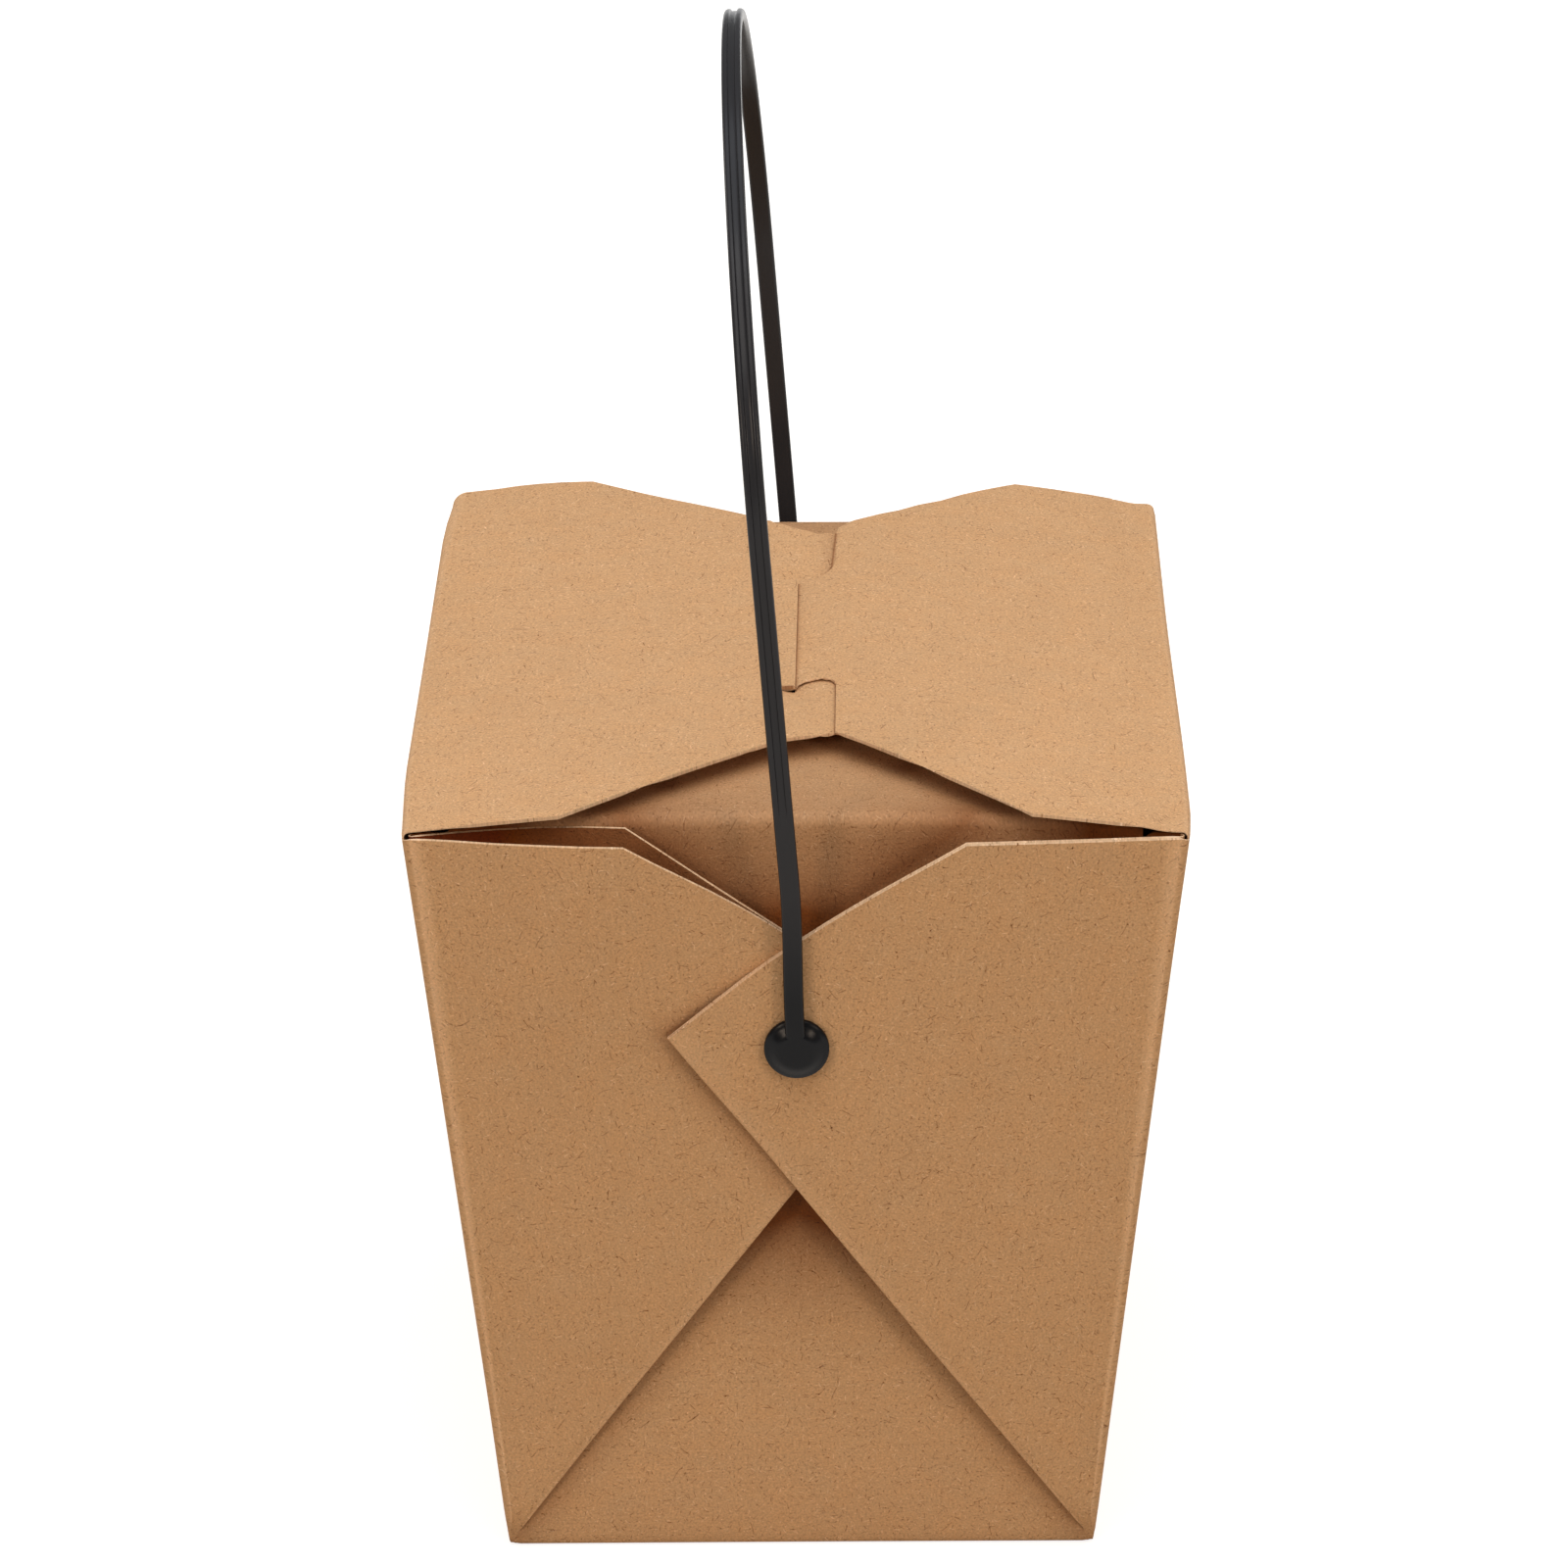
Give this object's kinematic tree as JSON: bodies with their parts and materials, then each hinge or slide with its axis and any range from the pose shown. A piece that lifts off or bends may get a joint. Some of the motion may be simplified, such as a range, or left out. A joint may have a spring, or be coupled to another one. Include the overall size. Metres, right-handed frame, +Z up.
{
  "type": "takeout food pail",
  "caption": "Folded kraft-board food pail, closed, with tuck-lock top flaps, folded corner webs and a black plastic bail handle with round button ends.",
  "frame": {"origin": "centre of the bottom, on the table", "axes": "+Z up, X from side wall to side wall (+X is the flap with the tongue), Y from one handle button to the other"},
  "size_m": [0.1002, 0.1164, 0.1953],
  "materials": {
    "kraft_board": "matte",
    "kraft_flap": "matte",
    "black_plastic": "satin"
  },
  "bodies": {
    "pail": {"carton": "kraft_board"},
    "lid": {"right_top_flap": "kraft_flap"},
    "bail": {"handle": "black_plastic"}
  },
  "joints": [
    {"name": "flap_hinge", "type": "hinge", "parent": "pail", "child": "lid", "pos_m": [0.05005, 0, 0.109], "axis": [0, 1, 0], "range_deg": [0, 180]},
    {"name": "handle_swing", "type": "hinge", "parent": "pail", "child": "bail", "pos_m": [0, 0, 0.079], "axis": [0, 1, 0], "range_deg": [-126, 134]}
  ]
}
